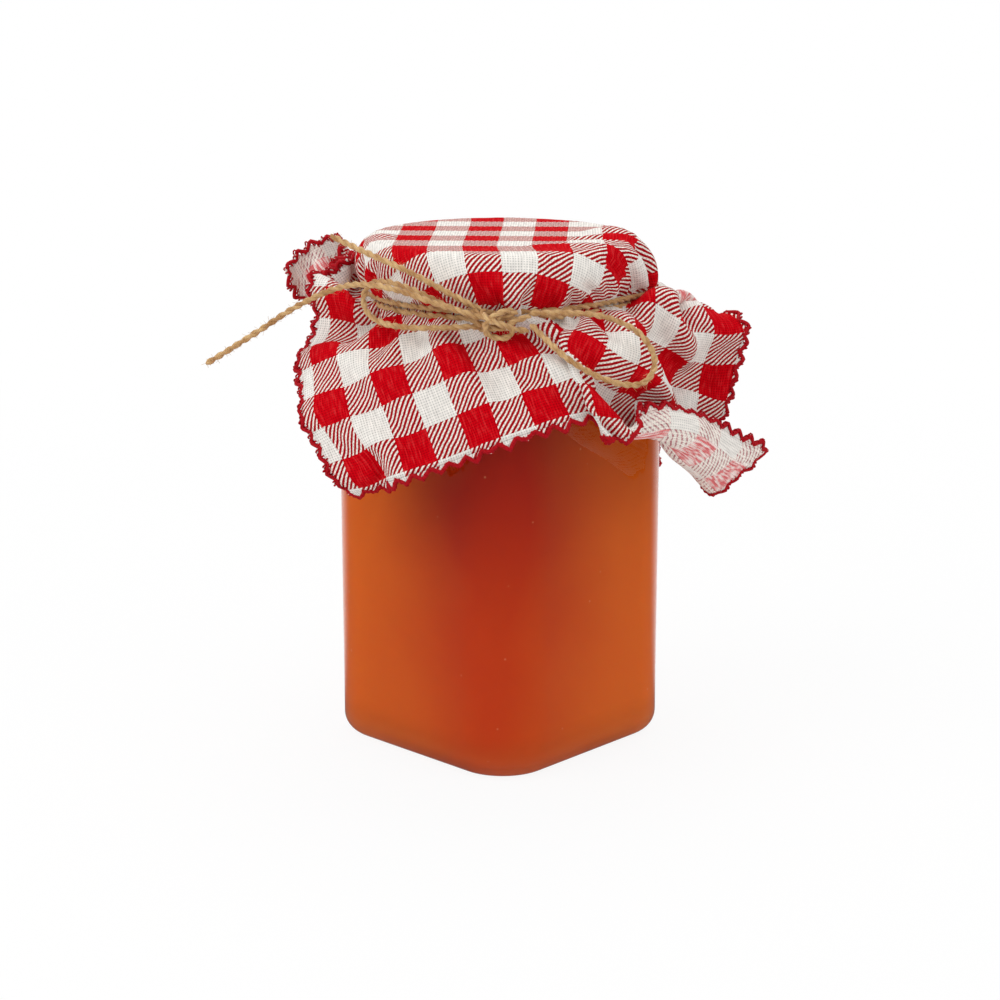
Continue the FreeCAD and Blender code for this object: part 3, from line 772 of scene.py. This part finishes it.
def settled(check, steps, spacing=2.0):
    """The cover after it has settled under its weight, as a grid of points and its places in
    checks.  The twine holds it, and each chosen place is drawn gently to where it hangs."""
    width, depth = (RIGHT_HEM - LEFT_HEM) * check, (BACK_HEM - FRONT_HEM) * check
    columns, rows = int(round(width / spacing)) + 1, int(round(depth / spacing)) + 1
    across, up = np.meshgrid(np.linspace(LEFT_HEM, RIGHT_HEM, columns),
                             np.linspace(FRONT_HEM, BACK_HEM, rows), indexing="ij")
    across, up = across.ravel(), up.ravel()
    x, path = laid_out(across, up, check)
    flap = (across > FLAP_START) & (path > TIE_PATH)
    left, right, top = PLEAT_ZONE
    links = thread_links(columns, rows, width / (columns - 1), depth / (rows - 1),
                         (across > left) & (across < right) & (up < top), flap)
    held = (np.abs(path - TIE_PATH) < TIE_HOLD) | (path < LID_HOLD)
    free = np.where(held, 0.0, 1.0)
    home = x.copy()
    hangs = np.array(HANGS, float)
    nearest = np.array([np.argmin((across - h[0]) ** 2 + (up - h[1]) ** 2) for h in hangs])
    column = np.clip(nearest // rows, 1, columns - 2)
    row = np.clip(nearest % rows, 1, rows - 2)
    patch = np.stack([(column + a) * rows + row + b for a in (-1, 0, 1) for b in (-1, 0, 1)], 1)
    speed = np.zeros_like(x)
    for _ in range(steps):
        before = x.copy()
        x = x + speed * KEPT_SPEED
        x[:, 2] -= WEIGHT * free
        for _ in range(ROUNDS):
            for a, b, rest, pull, push in links:
                apart = x[b] - x[a]
                length = np.sqrt((apart ** 2).sum(1)) + 1e-12
                over = length - rest
                share = np.maximum(free[a] + free[b], 1.0)
                shift = (np.where(over > 0, pull, push) * over / length / share)[:, None] * apart
                x[a] += shift * free[a][:, None]
                x[b] -= shift * free[b][:, None]
            draw = (hangs[:, 2:] - x[patch].mean(1)) * HANG_DRAW
            for k in range(patch.shape[1]):
                x[patch[:, k]] += draw
            x[held] = home[held]
        x = kept_out(x)
        x[held] = home[held]
        speed = np.clip(x - before, -1.0, 1.0)
    x = x.reshape(columns, rows, 3)
    x = eased(x, (free * flap).reshape(columns, rows))
    across, up = across.reshape(columns, rows), up.reshape(columns, rows)
    fold_pleat(x, across, up)
    cut_hem(x, across, up)
    return x, across, up


def eased(x, where):
    """The cloth with its smallest wrinkles taken out where it may move."""
    ease = where[1:-1, 1:-1, None] * EASE
    for _ in range(EASE_ROUNDS):
        around = (x[:-2, 1:-1] + x[2:, 1:-1] + x[1:-1, :-2] + x[1:-1, 2:]) / 4
        x[1:-1, 1:-1] += (around - x[1:-1, 1:-1]) * ease
    return kept_out(x.reshape(-1, 3)).reshape(x.shape)


def fold_pleat(x, across, up):
    """Lays the pleat's hidden fold: in under the right flap and back to its folded edge."""
    first, last = np.searchsorted(across[:, 0], FOLD_ENDS)
    for row in range(x.shape[1]):
        depth = min(max((FOLD_TOP - up[0, row]) / FOLD_FADE, 0.0), 1.0)
        if depth == 0.0:
            continue
        under, edge = x[first, row].copy(), x[last, row].copy()
        inward = np.array([-edge[0], -edge[1], 0.0]) / math.hypot(edge[0], edge[1])
        for column in range(first + 1, last):
            share = (column - first) / (last - first)
            reach = 1.0 - abs(2 * share - 1)
            whole, part = int(FOLD_COLUMNS * reach), FOLD_COLUMNS * reach % 1.0
            cover = x[last + whole, row] * (1 - part) + x[last + whole + 1, row] * part
            if share < 0.5:
                folded = cover + (under - edge) * (1 - reach) + inward * 2.0 * reach
            else:
                folded = cover + inward * min(FOLD_COLUMNS * reach, 1.0)
            x[column, row] += (folded - x[column, row]) * depth


def cut_hem(x, across, up):
    """Cuts the front hem a little higher left of the pleat."""
    rows = x.shape[1]
    for column in range(len(x)):
        hem = np.interp(across[column, 0], HEM_STEP, (FRONT_HEM + HEM_RISE, FRONT_HEM))
        cut = np.linspace(hem, BACK_HEM, rows)
        x[column] = np.stack([np.interp(cut, up[column], x[column, :, k]) for k in range(3)], 1)
        up[column] = cut


def halved(grid):
    """The grid with a smooth point between each two, both ways."""
    for axis in (0, 1):
        grid = np.moveaxis(grid, axis, 0)
        wide = np.concatenate([2 * grid[:1] - grid[1:2], grid, 2 * grid[-1:] - grid[-2:-1]])
        between = (9 * (wide[1:-2] + wide[2:-1]) - wide[:-3] - wide[3:]) / 16
        out = np.empty((2 * len(grid) - 1,) + grid.shape[1:])
        out[::2], out[1::2] = grid, between
        grid = np.moveaxis(out, 0, axis)
    return grid


# How each side of the cloth looks: where the ink of a slanting line ends, the noise between which
# its threads lose ink and how much, the ink's strength, how much painted shade darkens a gap in
# the weave, and how the thick and thin threads run.
FACE = {"line": (0.265, 0.305), "worn": (0.5, 0.75), "loss": 0.03, "ink": 1.0, "gap": -0.38,
        "run": (THREADS, 2.5, 1.0)}
REVERSE = {"line": (0.17, 0.21), "worn": (0.42, 0.6), "loss": 0.8, "ink": 0.85, "gap": -0.3,
           "run": (2.5, THREADS, 1.0)}


def gingham_cotton(name, red, stripe, white, look):
    # Cotton canvas in plain weave, printed on its face: matt, with thick and thin threads and
    # painted shade in the gap where four of them meet, and on the reverse a pinker print, worn in
    # streaks.
    material, tree = new_material(name)
    spot = add(tree, "ShaderNodeUVMap", uv_map="thread").outputs[0]
    wander = add(tree, "ShaderNodeTexNoise", {"Vector": spot, "Scale": 2.5, "Detail": 3.0})
    drift = vectors(tree, "SUBTRACT", wander.outputs["Color"], (0.5, 0.5, 0.5))
    place = vectors(tree, "ADD", spot, vectors(tree, "SCALE", drift, 0.07))
    axes = add(tree, "ShaderNodeSeparateXYZ", {0: place}).outputs
    bands = []
    for axis in ("X", "Y"):
        part = maths(tree, "FRACT", maths(tree, "MULTIPLY", axes[axis], 0.5))
        bands.append(maths(tree, "GREATER_THAN", part, 0.5))
    solid = maths(tree, "MULTIPLY", *bands)
    mixed = maths(tree, "SUBTRACT", maths(tree, "MAXIMUM", *bands), solid)
    # six slanting lines to a check where a dyed band crosses a bare one
    slant = maths(tree, "MULTIPLY", maths(tree, "SUBTRACT", axes["X"], axes["Y"]), 6.0)
    lines = mapped(tree, maths(tree, "PINGPONG", slant, 0.5), look["line"], (1.0, 0.0))
    ink = maths(tree, "ADD", solid, maths(tree, "MULTIPLY", lines, mixed))

    # the weave, straight on the cloth
    raw = add(tree, "ShaderNodeSeparateXYZ", {0: spot}).outputs
    threads = []
    for axis in ("X", "Y"):
        wave = maths(tree, "SINE", maths(tree, "MULTIPLY", raw[axis], 2 * math.pi * THREADS))
        threads.append(maths(tree, "MULTIPLY_ADD", wave, 0.5, 0.5))
    gap = maths(tree, "MULTIPLY", *threads)
    slub = noise(tree, vectors(tree, "MULTIPLY", spot, look["run"]), 1.0, 2.0)
    faded = mapped(tree, slub, look["worn"], (0.0, look["loss"]))
    ink = maths(tree, "MULTIPLY", ink, maths(tree, "SUBTRACT", 1.0, faded))
    ink = maths(tree, "MULTIPLY", ink, look["ink"])
    ground = blend(tree, mixed, white, colour("#FFF6EC"))
    printed = blend(tree, ink, ground, blend(tree, mixed, red, stripe))
    # painted shade in the weave's gaps, times the real uneven tone of the thick and thin threads
    shade = maths(tree, "MULTIPLY_ADD", gap, look["gap"],
                  mapped(tree, slub, (0.3, 0.7), (0.8, 1.0)))
    return surfaced(material, {
        "Base Color": vectors(tree, "SCALE", printed, shade), "Roughness": 0.9,
        "Specular IOR Level": 0.04, "Normal": bumped(tree, shade, 0.6, 0.00015)})


def hem_cotton():
    # Mercerised cotton thread, whipped over the edge: dark red, twisted, with a low silky gloss.
    material, tree = new_material("Cotton hem thread, mercerised")
    grain = noise(tree, add(tree, "ShaderNodeTexCoord").outputs["Object"], 2600.0)
    return surfaced(material, {
        "Base Color": blend(tree, grain, colour("#86000E"), colour("#CC0018")), "Roughness": 0.6,
        "Specular IOR Level": 0.15, "Normal": bumped(tree, grain, 0.5, 0.0001)})


def hem_tree():
    """A picot hem along the cloth's edge: a cord that swings out in scallops, and a finer thread
    whipped round it."""
    tree = new_tree("Picot hem", [("Pitch", "NodeSocketFloat", 0.0046),
                                  ("Depth", "NodeSocketFloat", 0.0019),
                                  ("Thread", "NodeSocketFloat", 0.0011),
                                  ("Whipping", "NodeSocketFloat", 0.0011),
                                  ("Material", "NodeSocketMaterial", None)])
    entry = add(tree, "NodeGroupInput").outputs
    line = add(tree, "GeometryNodeMeshToCurve", {0: entry["Geometry"]})
    outward = add(tree, "GeometryNodeInputNamedAttribute", {"Name": "outward"},
                  data_type="FLOAT_VECTOR").outputs[0]
    pieces = []
    for step, corners, whipped in ((0.00045, 8, False), (0.00016, 5, True)):
        fine = add(tree, "GeometryNodeResampleCurve", {"Curve": line.outputs[0], "Length": step},
                   mode="LENGTH")
        along = add(tree, "GeometryNodeSplineParameter").outputs["Length"]
        swing = maths(tree, "PINGPONG", maths(tree, "DIVIDE", along, entry["Pitch"]), 0.5)
        uneven = add(tree, "ShaderNodeTexNoise", {"Scale": 160.0, "Detail": 1.0})
        swing = maths(tree, "MULTIPLY", swing, uneven.outputs["Fac"])
        # the swing is a half at most and the noise a half on average: 4 makes the whole depth
        reach = maths(tree, "MULTIPLY", maths(tree, "MULTIPLY", swing, entry["Depth"]), 4.0)
        offset = vectors(tree, "SCALE", outward, reach)
        radius = maths(tree, "MULTIPLY", entry["Thread"], 0.5)
        if whipped:
            turns = maths(tree, "DIVIDE", along, entry["Whipping"])
            angle = maths(tree, "MULTIPLY", turns, 2 * math.pi)
            ahead = add(tree, "GeometryNodeInputTangent").outputs[0]
            across = vectors(tree, "CROSS_PRODUCT", ahead, outward)
            for function, axis in (("COSINE", outward), ("SINE", across)):
                amount = maths(tree, "MULTIPLY", maths(tree, function, angle), radius)
                offset = vectors(tree, "ADD", offset, vectors(tree, "SCALE", axis, amount))
            radius = maths(tree, "MULTIPLY", radius, 0.42)
        moved = add(tree, "GeometryNodeSetPosition", {"Geometry": fine.outputs[0],
                                                      "Offset": offset})
        ring = add(tree, "GeometryNodeCurvePrimitiveCircle", {"Resolution": corners,
                                                              "Radius": radius})
        cord = add(tree, "GeometryNodeCurveToMesh", {"Curve": moved.outputs[0],
                                                     "Profile Curve": ring.outputs[0]})
        pieces.append(cord.outputs[0])
    return joined(tree, pieces, entry["Material"])


class JAR_OT_cover(bpy.types.Operator):
    """Drapes the gingham cover over the lid and whips its picot hem"""
    bl_idname = "jar.cover"
    bl_label = "Gingham Cover"

    def execute(self, context):
        values = context.scene.jar_cover
        grid, across, up = settled(values.check * 1000, values.steps)
        places = jar_place(halved(grid))
        uv = halved(np.stack([across, up], -1)) + (0.0, PRINT_SHIFT)
        columns, rows = uv.shape[:2]
        index = np.arange(columns * rows).reshape(columns, rows)
        quads = np.stack([index[:-1, :-1], index[1:, :-1], index[1:, 1:], index[:-1, 1:]],
                         -1).reshape(-1, 4)
        cotton = [gingham_cotton("Cotton canvas, printed gingham", tuple(values.red),
                                 tuple(values.stripe), tuple(values.white), FACE),
                  gingham_cotton("Cotton canvas, gingham reverse", colour("#EE5058"),
                                 colour("#B85060"), tuple(values.white), REVERSE)]
        cover = new_piece("gingham_cover", places.reshape(-1, 3), quads.tolist(), cotton,
                          uv.reshape(-1, 2))
        self.give_body(cover, values.cloth)

        # the edge, once round, with the way out of the cloth at each point
        ring = [(i, 0) for i in range(columns - 1)] + [(columns - 1, j) for j in range(rows - 1)]
        ring += [(i, rows - 1) for i in range(columns - 1, 0, -1)]
        ring += [(0, j) for j in range(rows - 1, 0, -1)]
        ring, inset = np.array(ring), 3
        i, j = ring.T
        inner_i = np.clip(i, inset, columns - 1 - inset)
        inner_j = np.clip(j, inset, rows - 1 - inset)
        edge, edge_uv = places[i, j], uv[i, j]
        outward, uv_out = edge - places[inner_i, inner_j], edge_uv - uv[inner_i, inner_j]
        outward /= np.linalg.norm(outward, axis=1)[:, None]
        uv_out /= np.linalg.norm(uv_out, axis=1)[:, None]

        hem = self.whipped_hem(values, edge, outward)
        lip = self.scallops(values, edge, outward, edge_uv, uv_out, cotton)
        for piece in (cover, hem, lip):
            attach(piece, BODY)
        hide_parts("cloth_cover")
        return {"FINISHED"}

    def whipped_hem(self, values, edge, outward):
        """The picot hem along the edge."""
        count = len(edge)
        path = bpy.data.meshes.new("hem_path")
        path.from_pydata([tuple(p) for p in edge],
                         [(k, (k + 1) % count) for k in range(count)], [])
        layer = path.attributes.new("outward", "FLOAT_VECTOR", "POINT")
        layer.data.foreach_set("vector", outward.ravel())
        hem = bpy.data.objects.new("picot_hem", path)
        bpy.context.scene.collection.objects.link(hem)
        return baked(hem, hem_tree(), {"Pitch": values.picot_pitch, "Depth": values.picot_depth,
                                       "Thread": values.hem_thread, "Material": hem_cotton()})

    def scallops(self, values, edge, outward, edge_uv, uv_out, cotton):
        """Cloth that fills the hem's scallops."""
        line, along, _ = evenly(edge, 0.0005, closed=True)
        gone = np.concatenate([[0.0], np.cumsum(np.linalg.norm(np.diff(edge, axis=0), axis=1))])
        outs, spots, steps = (
            np.stack([np.interp(along, gone, part[:, k]) for k in range(part.shape[1])], 1)
            for part in (outward, edge_uv, uv_out))
        swing = 0.5 - np.abs((along / values.picot_pitch) % 1.0 - 0.5)
        tuck, fill = 0.0004, 1.9
        reach = swing * fill * values.picot_depth
        lips = np.concatenate([line - outs * tuck, line + outs * reach[:, None]])
        lip_uv = np.concatenate([spots, spots + steps * (reach / values.check)[:, None]])
        n = len(line)
        strip = [(k, n + k, n + (k + 1) % n, (k + 1) % n) for k in range(n)]
        lip = new_piece("scalloped_edge", lips, strip, cotton, lip_uv)
        self.give_body(lip, values.cloth * 0.8)
        return lip

    def give_body(self, piece, thickness):
        """Thickness both ways from the sheet, with the second material on its reverse."""
        body = piece.modifiers.new("body", "SOLIDIFY")
        body.thickness = thickness
        body.offset = 0.0
        body.material_offset = 1
        body.use_rim = True


# ---- jam, glass and lid ------------------------------------------------------------------------
def apricot_jam(values):
    # Boiled fruit jam, set and still: glossy, cloudy red where it is deep, with soft clouds of
    # pulp and a few tiny bubbles.  The orange towards the sides is painted light, where light
    # comes through, and the emission is a faint painted glow.
    material, tree = new_material("Fruit jam, set")
    spot = add(tree, "ShaderNodeTexCoord").outputs["Object"]
    facing = add(tree, "ShaderNodeMapping", {"Vector": spot, "Rotation": (0.0, 0.0, -COVER_TURN)})
    axes = add(tree, "ShaderNodeSeparateXYZ", {0: facing.outputs[0]}).outputs

    def share(value, source, target=(1.0, 0.0)):
        return mapped(tree, value, source, target, interpolation_type="SMOOTHSTEP")

    clouds = mapped(tree, noise(tree, facing.outputs[0], 20.0, 2.0, 0.45), target=(-0.5, 0.5))
    # painted light: the jam is painted orange towards the sides, away from the front corner, where
    # light comes through
    side = share(maths(tree, "ABSOLUTE", axes["X"]), (0.0, 0.036), (0.0, 1.0))
    painted_light_through = maths(tree, "ADD", side, clouds, use_clamp=True)
    core = blend(tree, share(axes["Z"], (0.03, 0.085)), tuple(values.deep), tuple(values.low))
    tint = blend(tree, painted_light_through, core, tuple(values.painted_light_through))
    heel = share(axes["Z"], (0.002, 0.012), (0.5, 0.0))
    tint = blend(tree, heel, tint, colour("#AE4E1E"))
    grain = add(tree, "ShaderNodeTexVoronoi", {"Vector": spot, "Scale": 150.0})
    bubble = mapped(tree, grain.outputs["Distance"], (0.03, 0.06), (0.35, 0.0))
    tint = blend(tree, bubble, tint, colour("#E8A070"))
    # the emission is a faint painted glow in the jam's own colour
    return surfaced(material, {
        "Base Color": tint, "Roughness": 0.5, "Specular IOR Level": 0.05,
        "Subsurface Weight": 0.2, "Subsurface Radius": (0.012, 0.004, 0.001),
        "Subsurface Scale": 1.0, "Emission Color": tint, "Emission Strength": 0.12})


class JAR_OT_jam(bpy.types.Operator):
    """Fills the jar with jam that reaches just into the glass, so that no air shows between"""
    bl_idname = "jar.jam"
    bl_label = "Jam"

    def execute(self, context):
        values = context.scene.jar_jam
        base_height, base_fade = 0.013, 0.007
        work = bmesh.new()
        work.from_mesh(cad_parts["jam"].data)
        bmesh.ops.remove_doubles(work, verts=work.verts, dist=1e-6)
        bmesh.ops.recalc_face_normals(work, faces=work.faces)
        work.normal_update()
        moved = []
        for vertex in work.verts:
            low = min(max((base_height - vertex.co.z) / base_fade, 0.0), 1.0)
            out = values.reach + values.base_reach * low * low
            moved.append(vertex.co + vertex.normal * out)
        for vertex, place in zip(work.verts, moved):
            vertex.co = place
        mesh = bpy.data.meshes.new("jam_fill")
        work.to_mesh(mesh)
        work.free()
        mesh.materials.clear()
        mesh.materials.append(apricot_jam(values))
        mesh.shade_smooth()
        mesh.set_sharp_from_angle(angle=math.radians(35))
        fill = bpy.data.objects.new("jam_fill", mesh)
        context.scene.collection.objects.link(fill)
        hand_over(fill, "jam", "jam")
        return {"FINISHED"}


class JAR_OT_glass_and_lid(bpy.types.Operator):
    """Gives the jar its clear pressed glass and the lid its lacquered tin"""
    bl_idname = "jar.glass_and_lid"
    bl_label = "Glass and Lid"

    def execute(self, context):
        for node, material in (("glass_jar", self.pressed_glass()), ("lid", self.lacquered_tin())):
            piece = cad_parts[node]
            piece.data.materials.clear()
            piece.data.materials.append(material)
        return {"FINISHED"}

    def pressed_glass(self):
        # Soda-lime glass, pressed in a mould: clear and bright, with a faint wave from the mould
        # that bends reflections, and fine scuffs that soften them.
        material, tree = new_material("Soda-lime glass, pressed")
        spot = add(tree, "ShaderNodeTexCoord").outputs["Object"]
        scuffs = mapped(tree, noise(tree, spot, 140.0, 3.0), (0.45, 0.75), (0.0, 0.012))
        return surfaced(material, {
            "Base Color": colour("#FBFDFC"), "Roughness": scuffs, "Transmission Weight": 1.0,
            "IOR": 1.52, "Normal": bumped(tree, noise(tree, spot, 45.0, 1.0), 0.06, 0.0008)})

    def lacquered_tin(self):
        # Tinplate under white kitchen lacquer: smooth and even, with the slight orange peel of a
        # sprayed coat.
        material, tree = new_material("Tinplate, white lacquer")
        peel = noise(tree, add(tree, "ShaderNodeTexCoord").outputs["Object"], 1200.0)
        return surfaced(material, {
            "Base Color": blend(tree, peel, colour("#E6E3DB"), colour("#F0EEE8")),
            "Roughness": 0.32, "Coat Weight": 0.4, "Coat Roughness": 0.1,
            "Normal": bumped(tree, peel, 0.15, 0.0001)})


# ---- panel and run -----------------------------------------------------------------------------
class JAR_PT_panel(bpy.types.Panel):
    bl_idname = "JAR_PT_panel"
    bl_label = "Preserving Jar"
    bl_space_type = "VIEW_3D"
    bl_region_type = "UI"
    bl_category = "Preserving Jar"

    def draw(self, context):
        for operator in OPERATORS:
            self.layout.operator(operator.bl_idname)


SETTINGS = {"jar_stage": StageSettings, "jar_twine": TwineSettings, "jar_cover": CoverSettings,
            "jar_jam": JamSettings}
OPERATORS = (JAR_OT_stage, JAR_OT_twine, JAR_OT_cover, JAR_OT_jam, JAR_OT_glass_and_lid)


def register():
    for item in (*SETTINGS.values(), *OPERATORS, JAR_PT_panel):
        bpy.utils.register_class(item)
    for name, group in SETTINGS.items():
        setattr(bpy.types.Scene, name, PointerProperty(type=group))


def unregister():
    for name in SETTINGS:
        delattr(bpy.types.Scene, name)
    for item in reversed((*SETTINGS.values(), *OPERATORS, JAR_PT_panel)):
        bpy.utils.unregister_class(item)


def main():
    register()
    bpy.ops.jar.stage()
    bpy.ops.jar.twine()
    bpy.ops.jar.cover()
    bpy.ops.jar.jam()
    bpy.ops.jar.glass_and_lid()


if __name__ == "__main__":
    main()
